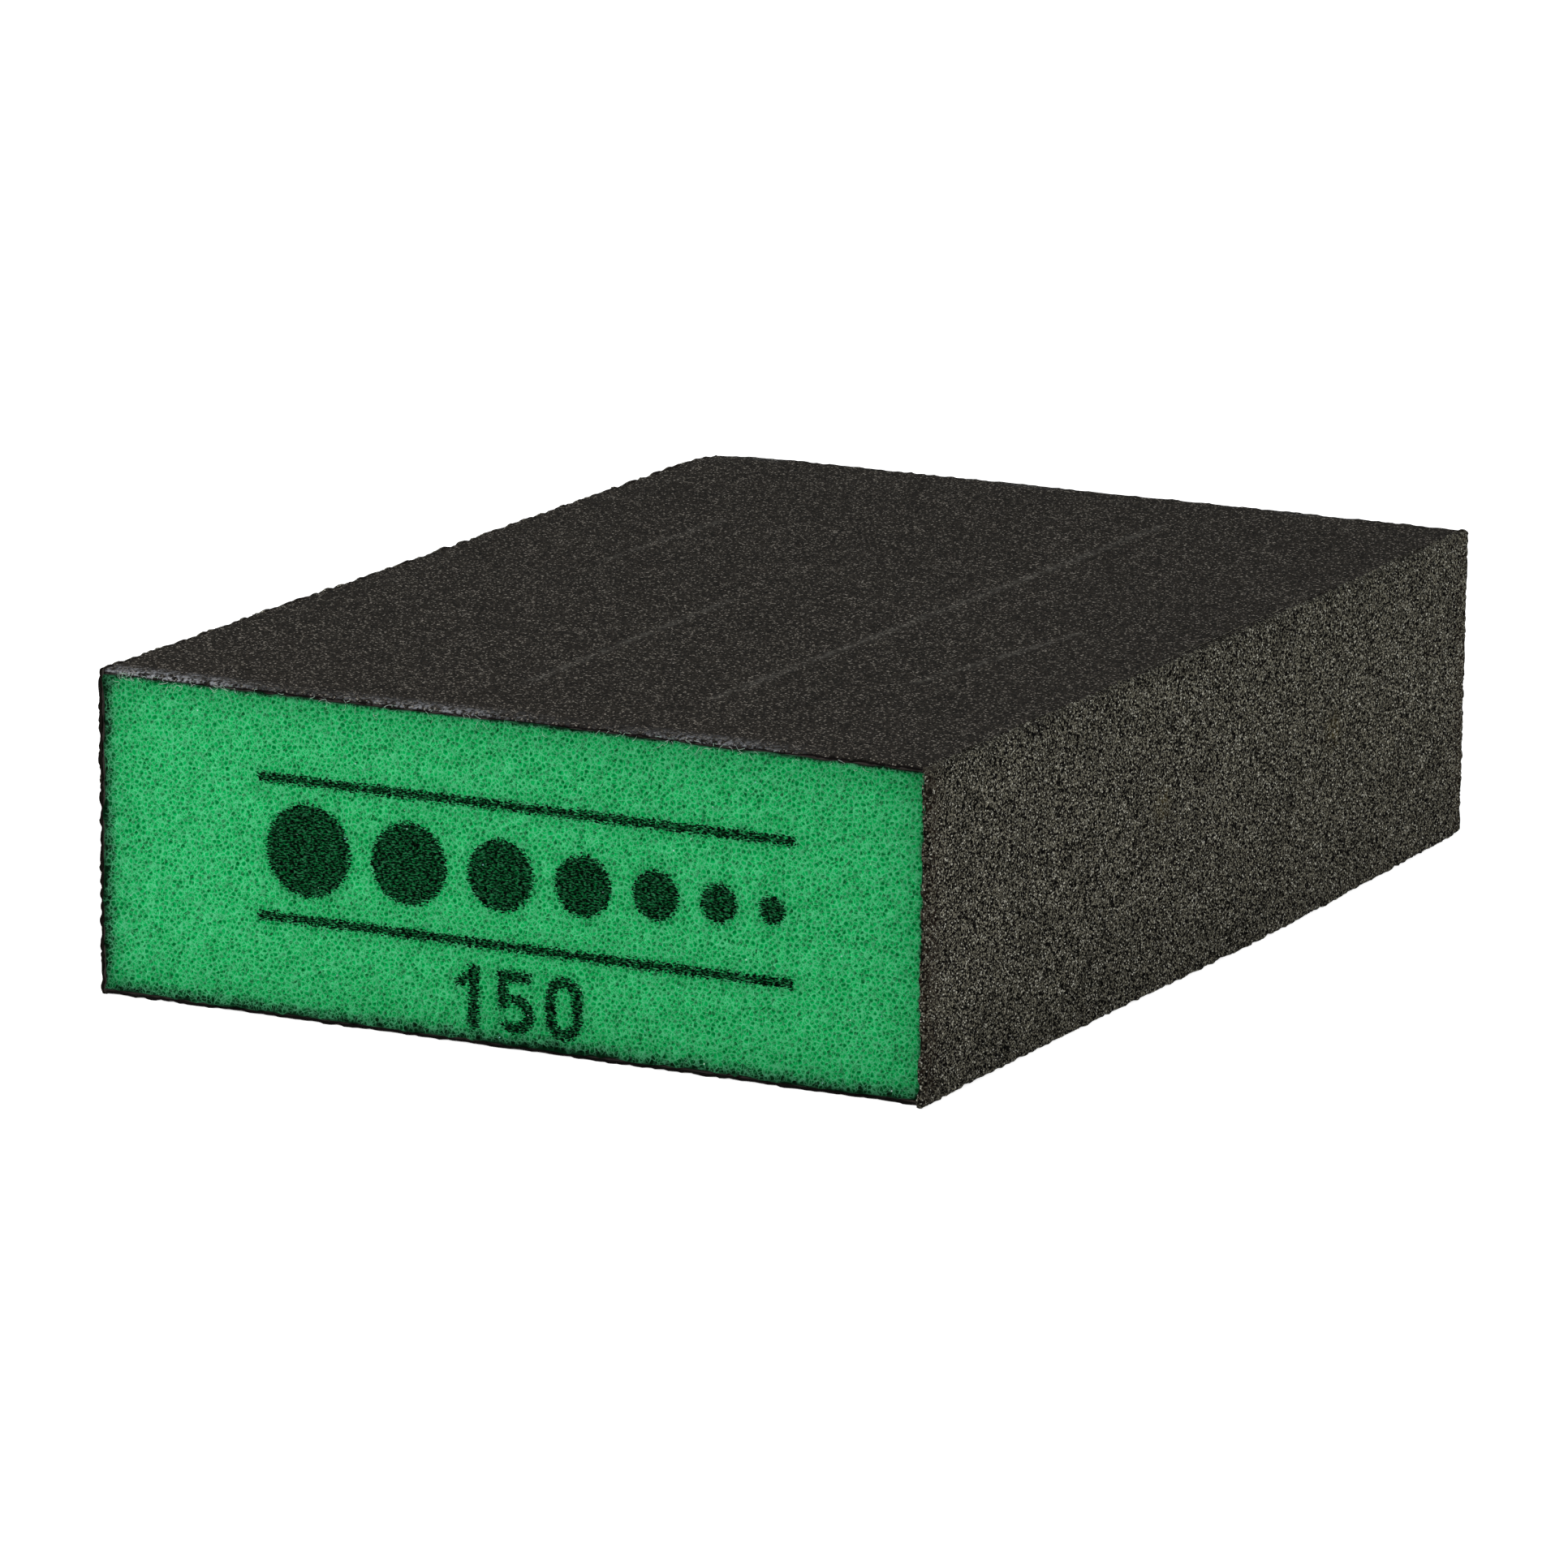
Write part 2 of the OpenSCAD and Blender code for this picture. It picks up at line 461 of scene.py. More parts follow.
def foamEnd(width, height, s, rng, withMouths):  # one cut end: points as (x, depth, z), faces, values
    seeds = cellSeeds(width, height, s, rng)
    rim, cells = voronoiCells(seeds, width, height, s["cellSpacing"])
    onEdge = np.min([np.abs(rim), np.abs(rim - (width, height))], axis=(0, 2)) < tiny
    rimDepth = rng.uniform(0, 1, len(rim)) ** s["recessPower"] * s["strutRecess"]
    points = [np.column_stack([rim[:, 0], rimDepth, rim[:, 1]])]
    depthKind, cellTone = [np.zeros(len(rim))], [np.full(len(rim), 0.5)]
    faces, owners, count = [], [], len(rim)
    for ring in cells:
        n = len(ring)
        if n < 3:
            continue
        corner = rim[ring]
        middle = corner.mean(0)
        tone = rng.uniform()  # 0 is a closed cell, 1 a wide open one
        centre = middle + (corner[rng.integers(n)] - middle) * rng.uniform(0, s["poreOff"])
        spokes = corner - centre
        lengths = np.linalg.norm(spokes, axis=1, keepdims=True)
        radius = min(np.interp(tone, (0, 1), s["poreRadii"]), s["widestPore"] * lengths.mean())
        isOpen = tone > s["closedTone"]
        hasMouth = withMouths and isOpen
        if hasMouth:
            mouth = centre + spokes * np.minimum(radius / lengths, s["mouthReach"])
            mouthDepth = s["poreEdge"] * rng.uniform(*s["mouthStray"]) + rimDepth[ring].mean()
            points.append(np.column_stack([mouth[:, 0], np.full(n, mouthDepth), mouth[:, 1]]))
            depthKind.append(np.full(n, s["skinKind"]))
        floorDepth = np.interp(tone, (0, 1), s["poreDepths"])
        floorDepth = rimDepth[ring].mean() + (floorDepth + s["poreEdge"] if isOpen else s["closedDepth"])
        points.append(np.array([[centre[0], floorDepth, centre[1]]]))
        depthKind.append(np.full(1, 1.0 if isOpen else s["skinKind"]))
        added = n + 1 if hasMouth else 1
        cellTone.append(np.full(added, tone))
        last = count + added - 1
        for k in range(n):
            following = (k + 1) % n
            if hasMouth:
                faces.append((ring[k], ring[following], count + following, count + k))
                faces.append((count + k, count + following, last))
            else:
                faces.append((ring[k], ring[following], last))
        owners += [(centre[0], centre[1], radius if isOpen else noPore)] * (2 * n if hasMouth else n)
        count += added
    points = np.vstack(points)
    corners = np.concatenate([np.array(face) for face in faces])
    owner = np.repeat(np.array(owners), [len(face) for face in faces], axis=0)
    # how far each face corner lies from the middle of its own cell's pore, and that pore's radius
    pore = np.column_stack([points[corners][:, [0, 2]] - owner[:, :2], owner[:, 2]])
    return points, faces, np.concatenate(depthKind), np.concatenate(cellTone), onEdge, pore


def makeFoamCore(s):
    low, high = inMm(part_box("foam_core"))
    width, height = high[0] - low[0], high[2] - low[2]
    rng = np.random.default_rng(s["seed"])
    points, faces, kinds, tones, borders, pores = [], [], [], [], [], []
    offset = 0
    for facing, plane in ((-1, low[1]), (1, high[1])):
        p, f, kind, tone, onEdge, pore = foamEnd(width, height, s, rng, withMouths=facing < 0)
        x = p[:, 0] + low[0] if facing < 0 else high[0] - p[:, 0]
        points.append(np.column_stack([x, plane - facing * p[:, 1], p[:, 2] + low[2]]))
        faces += [tuple(offset + i for i in face) for face in f]
        kinds.append(kind)
        tones.append(tone)
        pores.append(pore)
        borders.append(offset + np.nonzero(onEdge)[0])
        offset += len(p)
    points = np.vstack(points)
    flat = points.copy()
    for axis, value, inward in ((0, low[0], 1), (0, high[0], -1), (2, low[2], 1), (2, high[2], -1)):
        along = 2 - axis
        wall = []
        for side, border in enumerate(borders):
            chosen = border[np.abs(flat[border, axis] - value) < tiny]
            order = np.argsort(flat[chosen, along])
            wall += list(chosen[order] if side == 0 else chosen[order][::-1])
        faces.append(tuple(int(i) for i in wall))
        pores.append(np.tile([1.0, 1.0, noPore], (len(wall), 1)))
        torn = softNoise(flat[:, along], flat[:, 1], s["tearSize"], s["seed"] + 10 + axis + inward)
        near = np.exp(-np.abs(flat[:, axis] - value) / s["tearReach"])
        points[:, axis] += inward * s["borderTear"] * torn * near
    x, y, z = points.T
    inside = {"left": x - low[0], "right": high[0] - x, "bottom": z - low[2], "top": high[2] - z}
    soak = np.max([1 - gap / s["soakZones"][side] for side, gap in inside.items()], axis=0)
    borderLight = np.prod([1 - s["borderShade"] * np.exp(-np.clip(gap, 0, None) / s["borderReach"])
                           for gap in inside.values()], axis=0)
    ink = np.where(y < 0, printDistance(x, z, printSettings), farFromInk)
    values = {"depth": np.concatenate(kinds), "tone": np.concatenate(tones), "borderLight": borderLight,
              "soak": np.clip(soak, 0, 1), "ink": np.clip(ink, -farFromInk, farFromInk)}
    return meshPiece("foamCore", settled(points), faces, values, {"pore": np.vstack(pores)})


foamLook = {                 # sizes in mm
    # skin, pore and deepPore: painted shade, ever darker greens down the hollows of the cells
    "strut": "#52BF85", "skin": "#0BA050", "pore": "#008C42", "deepPore": "#007C3C", "thread": "#66C492",
    "deep": "#068D41",       # painted shade: the darker, fuller green of patches 1 to 2 mm across
    "soakPale": "#3C8257", "soakDark": "#040E08", "paleDust": "#E3EBD8", "coolDust": "#6FB6C4",
    "wobbleSize": 0.16, "wobbleReach": 0.12,     # of the waver in every outline
    "patchSize": 1.5, "smallPoreSize": 0.24, "threadSize": 0.36, "speckSpacing": 1.5,
    "streakLength": 0.30, "streakHeight": 0.10,   # of the printer's fine lines
    "streakReach": 1.5,      # mm by which a full streak would stray from the outline
    "skinWobble": 0.4, "inkWobble": 0.6, "soakTone": 0.25, "soakPatch": 0.8,   # what each adds
    "bump": 0.4, "bumpHeight": 0.04, "roughness": (0.85, 0.7), "specular": 0.012,
    "ranges": {
        "skin": (0.12, 0.42),
        "patch": (0.42, 0.72, 0.0, 0.4),  # painted shade, as if the cells lay deeper there
        "pore": (1.2, 1.7, 0.9, 0.0),  # in radii of the pore, like the next
        "deepPore": (0.7, 1.35, 1.0, 0.0),
        "smallPore": (0.15, 0.42, 0.45, 0.0),
        "soakDepth": (0.6, 1.5, 0.0, 0.95),
        "soakStart": (0.0, 0.35),
        "filled": (1.25, 1.6),  # where even the struts are black
        "thread": (0.0, 0.05 / 0.36, 0.5, 0.0),  # half the threads' width over their spacing
        "cover": (0.22, 0.40, 1.0, 0.0),  # mm from the ink's outline, like the haze
        "inkTone": (0.44, 0.64, 0.004, 0.38),  # the share of the light that comes back through
        "haze": (-0.2, 1.6, 0.84, 1.0),
        "speck": (0.033 / 1.5, 0.077 / 1.5, 0.8, 0.0),  # mm over the specks' spacing
    },
}


def foamMaterial(s):
    # open-cell polyurethane foam, blown and sawn: matte, bright torn struts round small full-green pores
    material, tree, place = startMaterial("sawnPolyurethaneFoam")
    depth, tone, soak, ink, borderLight = (
        addNode(tree, "Attribute", {"attribute_name": key}).outputs["Fac"]
        for key in ("depth", "tone", "soak", "ink", "borderLight"))
    wobble = addNode(tree, "TexNoise", {}, sized(place, s["wobbleSize"], Detail=2.0))
    patch = addNode(tree, "TexNoise", {}, sized(place, s["patchSize"], Detail=3.0))
    raggedDepth = addNode(tree, "Math", multiplyAdd, {0: wobble, 1: s["skinWobble"], 2: depth})
    # round pores: the offset from the middle of the cell, measured in radii of its pore
    pore = addNode(tree, "Attribute", {"attribute_name": "pore"}).outputs["Vector"]
    offset = addNode(tree, "VectorMath", multiply, {0: pore, 1: (1, 1, 0)})
    away = addNode(tree, "VectorMath", {"operation": "LENGTH"}, {0: offset}).outputs["Value"]
    radius = addNode(tree, "SeparateXYZ", {}, {0: pore}).outputs["Z"]
    away = addNode(tree, "Math", {"operation": "DIVIDE"}, {0: away, 1: radius})
    away = addNode(tree, "Math", {"operation": "ADD"}, {0: away, 1: wobble})
    # smaller cells between them: more pores, and thin struts curved by the same wobble
    bent = addNode(tree, "VectorMath", multiplyAdd, {
        0: wobble.outputs["Color"], 1: [s["wobbleReach"] * mm] * 3, 2: place})
    small = addNode(tree, "TexVoronoi", {}, sized(bent, s["smallPoreSize"]))
    web = addNode(tree, "TexVoronoi", {"feature": "DISTANCE_TO_EDGE"}, sized(bent, s["threadSize"]))
    # resin that soaked in from the coats took whole cells, darkest next to the coats
    soakTone = addNode(tree, "Math", multiplyAdd, {0: tone, 1: s["soakTone"], 2: soak})
    soakRagged = addNode(tree, "Math", multiplyAdd, {0: patch, 1: s["soakPatch"], 2: soakTone})
    # ink-jet print: fine level streaks, torn by the cells, in a faint haze of stray drops
    across, upward = (1 / (s[key] * mm) for key in ("streakLength", "streakHeight"))
    level = addNode(tree, "VectorMath", multiply, {0: place, 1: (across, across, upward)})
    streak = addNode(tree, "TexNoise", {}, {"Vector": level, "Scale": 1.0, "Detail": 2.0})
    torn = addNode(tree, "Math", {"operation": "SUBTRACT"}, {0: streak, 1: 0.5})
    torn = addNode(tree, "Math", multiplyAdd, {0: torn, 1: s["streakReach"], 2: ink})
    torn = addNode(tree, "Math", multiplyAdd, {0: wobble, 1: s["inkWobble"], 2: torn})
    dust = addNode(tree, "TexVoronoi", {}, sized(place, s["speckSpacing"]))
    sources = {
        "skin": raggedDepth, "patch": patch, "pore": away, "deepPore": away, "smallPore": small,
        "soakDepth": soakRagged, "soakStart": soak, "filled": soakRagged, "thread": web,
        "cover": torn, "inkTone": streak, "haze": ink, "speck": dust}
    share = {key: addNode(tree, "MapRange", smoothRange, ranged(source, s["ranges"][key]))
             for key, source in sources.items()}
    hollow = share["skin"]
    for other in (share["pore"], share["filled"]):
        hollow = addNode(tree, "Math", {"operation": "MAXIMUM"}, {0: hollow, 1: other})
    soaked = addNode(tree, "Mix", mixed, {0: hollow, 6: s["soakPale"], 7: s["soakDark"]})
    unfilled = addNode(tree, "Math", {"operation": "SUBTRACT"}, {0: 1.0, 1: share["filled"]})
    thread = addNode(tree, "Math", multiply, {0: share["thread"], 1: unfilled})
    dustKind = addNode(tree, "SeparateColor", {}, {0: dust.outputs["Color"]})
    dustColour = addNode(tree, "Mix", mixed, {0: dustKind, 6: s["paleDust"], 7: s["coolDust"]})
    # the foam lets light through, and next to the dark coats less of it comes back
    colour = layered(tree, s["strut"], (
        # painted shade: darker greens down the hollows of the cells and in the smaller painted pores
        (mixed, s["skin"], share["skin"]),
        # painted shade in patches, as if the cells lay deeper
        (mixed, s["deep"], share["patch"]),
        (mixed, s["pore"], share["pore"]),
        (mixed, s["deepPore"], share["deepPore"]),
        (mixed, s["pore"], share["smallPore"]),
        (mixed, soaked, share["soakDepth"], share["soakStart"]),
        (mixed, s["thread"], thread),
        (shaded, borderLight, 1.0),
        (shaded, share["haze"], 1.0),
        (shaded, share["inkTone"], share["cover"]),
        (mixed, dustColour, share["speck"])))
    roughness = addNode(tree, "MapRange", {}, ranged(share["cover"], (0, 1, *s["roughness"])))
    endBumped(tree, s, colour, roughness, thread)
    return material


core = makeFoamCore(foamCore)
core.data.materials.append(foamMaterial(foamLook))
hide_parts("foam_core")
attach(core, body)
print("foam core:", len(core.data.polygons), "faces")


tornStruts = {               # bits of foam strut that the saw tore loose, in mm
    "edgeCount": 120, "faceCount": 700,
    "edgeSpots": [(-29.0, 5.0, 0.45), (-7.0, 6.0, 0.22), (17.0, 5.5, 0.33)],   # x, spread, share
    "edgeMargin": 1.5, "faceMargin": 0.5,        # to the nearest side
    "edgeDepths": (-0.3, 0.35),                  # below the foam's top, and how far a tip passes it
    "tipPast": 0.3,
    "edgeLengths": (0.3, 0.9), "faceLengths": (0.25, 0.8),
    "edgePaleness": (0.6, 1.0), "facePaleness": (0.0, 0.12),
    "thickness": 0.035, "taper": 0.6,
    "steps": 5,
    "curl": 2.4,             # radians that a strut turns at most over its length
    "standOut": 0.10,        # how far a loose tip comes out of the cut face
    "arcShares": (0.5, 1.0), "standShares": (0.2, 1.0),   # of a half wave, and of that distance
    "seed": 61,
    "green": "#35AD69", "brightGreen": "#62CB8F", "rubbed": "#B9C2BE", "mottleSize": 0.3,
    "roughness": 0.8, "specular": 0.2,
}


def makeTornStruts(s):
    low, high = inMm(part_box("foam_core"))
    rng = np.random.default_rng(s["seed"])
    points, faces, pales, outward = [], [], [], np.array([0, 1, 0])
    for facing, plane in ((-1, low[1]), (1, high[1])):
        starts, lengths, pale = [], [], []
        for spot, spread, share in s["edgeSpots"]:
            n = round(s["edgeCount"] * share)
            x = np.clip(rng.normal(spot, spread, n), low[0] + s["edgeMargin"], high[0] - s["edgeMargin"])
            starts.append(np.column_stack([x, high[2] - rng.uniform(*s["edgeDepths"], n)]))
            lengths.append(rng.uniform(*s["edgeLengths"], n))
            pale.append(rng.uniform(*s["edgePaleness"], n))
        loose = np.column_stack([
            rng.uniform(low[axis] + s["faceMargin"], high[axis] - s["faceMargin"], s["faceCount"])
            for axis in (0, 2)])
        if facing < 0:  # none lies across the print
            loose = loose[printDistance(loose[:, 0], loose[:, 1], printSettings) > s["faceLengths"][1]]
        starts.append(loose)
        lengths.append(rng.uniform(*s["faceLengths"], len(loose)))
        pale.append(rng.uniform(*s["facePaleness"], len(loose)))
        for (x, z), length, tint in zip(np.vstack(starts), np.concatenate(lengths), np.concatenate(pale)):
            heading, turn = rng.uniform(0, 2 * math.pi), rng.uniform(-s["curl"], s["curl"])
            along = np.linspace(0, 1, s["steps"])
            angle = heading + turn * along
            steps = np.cumsum([np.cos(angle), np.sin(angle)], axis=1) * length / s["steps"]
            arc = np.sin(along * math.pi * rng.uniform(*s["arcShares"]))
            pathY = plane + facing * s["standOut"] * arc * rng.uniform(*s["standShares"])
            path = np.column_stack([x + steps[0], pathY, np.minimum(z + steps[1], high[2] + s["tipPast"])])
            half = (s["thickness"] / 2 * (1 - s["taper"] * along))[:, None]
            sideways = half * np.column_stack([-np.sin(angle), 0 * angle, np.cos(angle)])
            first = len(points)
            points += [path[k] + step for k in range(s["steps"])
                       for step in (sideways[k], half[k] * outward, -sideways[k], -half[k] * outward)]
            pales += [tint] * 4 * s["steps"]
            for k in range(s["steps"] - 1):
                a, b = first + 4 * k, first + 4 * k + 4
                faces += [(a + i, a + (i + 1) % 4, b + (i + 1) % 4, b + i) for i in range(4)]
            end = first + 4 * (s["steps"] - 1)
            faces += [(first, first + 1, first + 2, first + 3), (end + 3, end + 2, end + 1, end)]
    return meshPiece("tornStruts", settled(np.array(points)), faces, {"pale": pales})


def tornStrutMaterial(s):
    # the same foam, torn and scuffed: whitened where it was rubbed over the edge
    material, tree, place = startMaterial("tornPolyurethaneFoam")
    pale = addNode(tree, "Attribute", {"attribute_name": "pale"}).outputs["Fac"]
    mottle = addNode(tree, "TexNoise", {}, sized(place, s["mottleSize"]))
    colour = layered(tree, s["green"], (
        (mixed, s["brightGreen"], mottle),
        (mixed, s["rubbed"], pale)))
    endMaterial(tree, addNode(tree, "BsdfPrincipled", {}, {
        "Base Color": colour, "Roughness": s["roughness"], "Specular IOR Level": s["specular"]}))
    return material


struts = makeTornStruts(tornStruts)
struts.data.materials.append(tornStrutMaterial(tornStruts))
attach(struts, body)
print("torn struts:", len(struts.data.polygons), "faces")


def slabMesh(us, vs, ws):  # closed slab: fine grid outside, rows round the rim, strips on the hidden face
    nu, nv = len(us), len(vs)
    grid = np.arange(nu * nv).reshape(nu, nv)
    u, v = np.meshgrid(us, vs, indexing="ij")
    ring = np.array([(i, 0) for i in range(nu)] + [(nu - 1, j) for j in range(1, nv)]
                    + [(i, nv - 1) for i in range(nu - 2, -1, -1)] + [(0, j) for j in range(nv - 2, 0, -1)])
    points = [np.column_stack([u.ravel(), v.ravel(), np.full(nu * nv, ws[-1])])]
    rows = [grid[ring[:, 0], ring[:, 1]]]
    count = nu * nv
    for w in ws[-2::-1]:
        points.append(np.column_stack([us[ring[:, 0]], vs[ring[:, 1]], np.full(len(ring), w)]))
        rows.append(np.arange(count, count + len(ring)))
        count += len(ring)
    quads = [np.column_stack([grid[:-1, :-1].ravel(), grid[1:, :-1].ravel(),
                              grid[1:, 1:].ravel(), grid[:-1, 1:].ravel()])]
    for upper, lower in zip(rows, rows[1:]):
        quads.append(np.column_stack([upper, lower, np.roll(lower, -1), np.roll(upper, -1)]))
    last = rows[-1]
    front, back = last[:nu], last[nu + nv - 2:2 * nu + nv - 2][::-1]
    quads.append(np.column_stack([front[1:-2], back[1:-2], back[2:-1], front[2:-1]]))
    faces = np.vstack(quads).tolist()
    rightSide = last[nu - 1:nu + nv - 1]
    leftSide = np.append(last[2 * nu + nv - 3:], last[0])[::-1]
    faces.append([int(i) for i in list(rightSide) + [back[-2], front[-2]]])
    faces.append([int(i) for i in list(leftSide) + [back[1], front[1]]])
    return np.vstack(points), faces


coatEdges = {                # in mm, for all four coats; a pair is a depth and how wide its bumps are
    "edgeRadius": 0.30,      # of the long edges
    "bevel": 0.55,           # at the ends, crushed by the saw, where the coat is worn most
    "bevelLeast": 0.45,      # its share where the coat isn't worn
    "bevelTear": (0.4, 0.9),     # a share of it
    "bevelShare": 0.85,      # how much of the coat the bevel takes at the very end
    "crushLeast": 0.3,       # and its share where the coat isn't worn
    "cutBack": 0.04,         # how far a coat ends behind the cut plane, at least
    "cutWave": (0.10, 4.0),  # and how much that strays over some mm
    "cutTear": (0.16, 0.3),  # and over one grain
    "edgeWave": (0.10, 2.6),     # how much the narrow coats' long edges stray over some mm
    "edgeTear": (0.30, 0.7),     # and over one grain
    "edgeShades": [(0.20, 2.2), (0.27, 3.5)],   # painted shade of the narrow coats, top and bottom: strength, reach
    "notch": (0.22, 0.55),   # how far the wide coats' ends are worn down at most
    "overlapTear": (0.35, 0.5),  # a share of the overlap
    "reaches": {"cut": 0.15, "edge": 0.5, "notch": 0.35, "overlap": 0.3},   # how far in each fades
    "cutWidth": 0.07,        # of the dark resin on the cut
    "deepest": 0.9,          # the share of a layer that its relief takes at most
    "pitDepth": 0.16,        # of pits where foam cells lay open under the coat
    "pitRadii": (0.25, 0.5),
    "pitMargin": 2.0,
    "lumpPlace": (34.8, -50.7, 0.5),   # of a lump of resin at one corner
    "lumpPush": (0.15, -0.9, 0.0),
    "lumpReach": 0.7,
    "wear": 0.35,            # of the ends by chance, and the size and the range of the noise that gives it
    "wearSize": 5.0,
    "wearRange": (-0.2, 0.9),
    "frontChance": 0.3,      # the share of that at the front end of the top coat, next to its own spots
    "frontWear": [(-29.0, 6.5, 1.0), (-6.0, 7.5, 0.65), (16.5, 5.5, 0.6)],   # x, spread, strength
    "scuffRange": (-0.5, 0.3),   # mm inside a scuff's outline, over which it sets in
    "seeds": {"bevel": 71, "notch": 73, "edgeWave": 60, "edgeTear": 64, "cut": 80},
    "ownSeeds": {"clump": 100, "wave": 200, "wear": 7, "cutTear": 81, "overlap": 82},   # past a layer's
}
coatSides = {"top": (0, 0, 1), "bottom": (0, 0, -1), "left": (-1, 0, 0), "right": (1, 0, 0)}
wideRelief = {"grain": 0.04, "clump": 0.02, "clumpSize": 1.1, "waveSize": 7.0}
narrowRelief = {"clumpSize": 0.9, "wave": 0.03, "waveSize": 4.0, "pitCount": 18}
coatLayers = {               # in mm: step is the mesh's, grain, clump and wave are depths with their sizes
    ("top", "binder"): {"step": 0.5, "seed": 21},
    ("top", "grit"): wideRelief | {
        "step": 0.31, "seed": 22, "grainSize": 0.33, "wave": 0.04,
        "scuffs": [((10.5, -37.6), (12.2, 39.4), 0.5), ((21.2, -24.9), (24.3, -2.5), 0.4),
                   ((-4.3, -39.3), (-4.9, -4.7), 0.4), ((-21.0, 4.0), (-20.2, 24.0), 0.3)]},
    # crushed is how much the bevel counts
    ("bottom", "binder"): {"step": 0.5, "seed": 31, "crushed": 0.3},
    ("bottom", "grit"): wideRelief | {
        "step": 0.36, "seed": 32, "crushed": 0.3, "grainSize": 0.4, "wave": 0.03,
        "scuffs": [((-14.0, -30.0), (-12.5, 28.0), 0.5), ((8.0, -12.0), (7.2, 33.0), 0.4)]},
    ("left", "binder"): {"step": 0.4, "seed": 41, "crushed": 0.3},
    ("left", "grit"): narrowRelief | {
        "step": 0.20, "seed": 42, "crushed": 0.3, "grain": 0.22, "grainSize": 0.52, "clump": 0.06,
        "stains": [((-24.0, 11.0), 2.2), ((17.0, 15.5), 2.6)]},
    ("right", "binder"): {"step": 0.4, "seed": 51},
    # this one's ends stand out past the cut, reach in over the foam, and show little dark resin
    ("right", "grit"): narrowRelief | {
        "step": 0.17, "seed": 52, "grain": 0.15, "grainSize": 0.36, "clump": 0.05,
        "overlap": 0.36, "cutBackShare": 0.35, "cutOut": 0.03, "cutDark": 0.2,
        "stains": [((22.6, 14.0), 2.4), ((-10.2, 14.6), 2.2)]},
}


edgeLines = np.array([0, 0.07, 0.15, 0.26, 0.40])   # mm from an edge


def gridLines(low, high, step):  # evenly spaced, and closer together next to both edges
    first, last = low + edgeLines[-1], high - edgeLines[-1]
    inside = np.linspace(first, last, round((high - low) / step) + 1)
    return np.concatenate([low + edgeLines[:-1], inside, high - edgeLines[-2::-1]])


def coatRelief(u, v, low, high, across, s, e, own):  # the depth of the grain, and the pits from 0 to 1
    relief = s["grain"] * (1 - np.abs(softNoise(u, v, s["grainSize"], s["seed"]))) ** 2 \
        + s["clump"] * (1 - unitNoise(u, v, s["clumpSize"], own["clump"])) \
        + s["wave"] * (1 - unitNoise(u, v, s["waveSize"], own["wave"]))
    rng = np.random.default_rng(s["seed"])
    pits = np.zeros(len(u))
    for _ in range(s.get("pitCount", 0)):
        pitU, pitV = (rng.uniform(low[axis] + e["pitMargin"], high[axis] - e["pitMargin"])
                      for axis in (across, 1))
        pits += np.exp(-((u - pitU) ** 2 + (v - pitV) ** 2) / rng.uniform(*e["pitRadii"]) ** 2)
    pits = np.clip(pits, 0, 1)
    return relief - relief.mean() + e["pitDepth"] * pits, pits


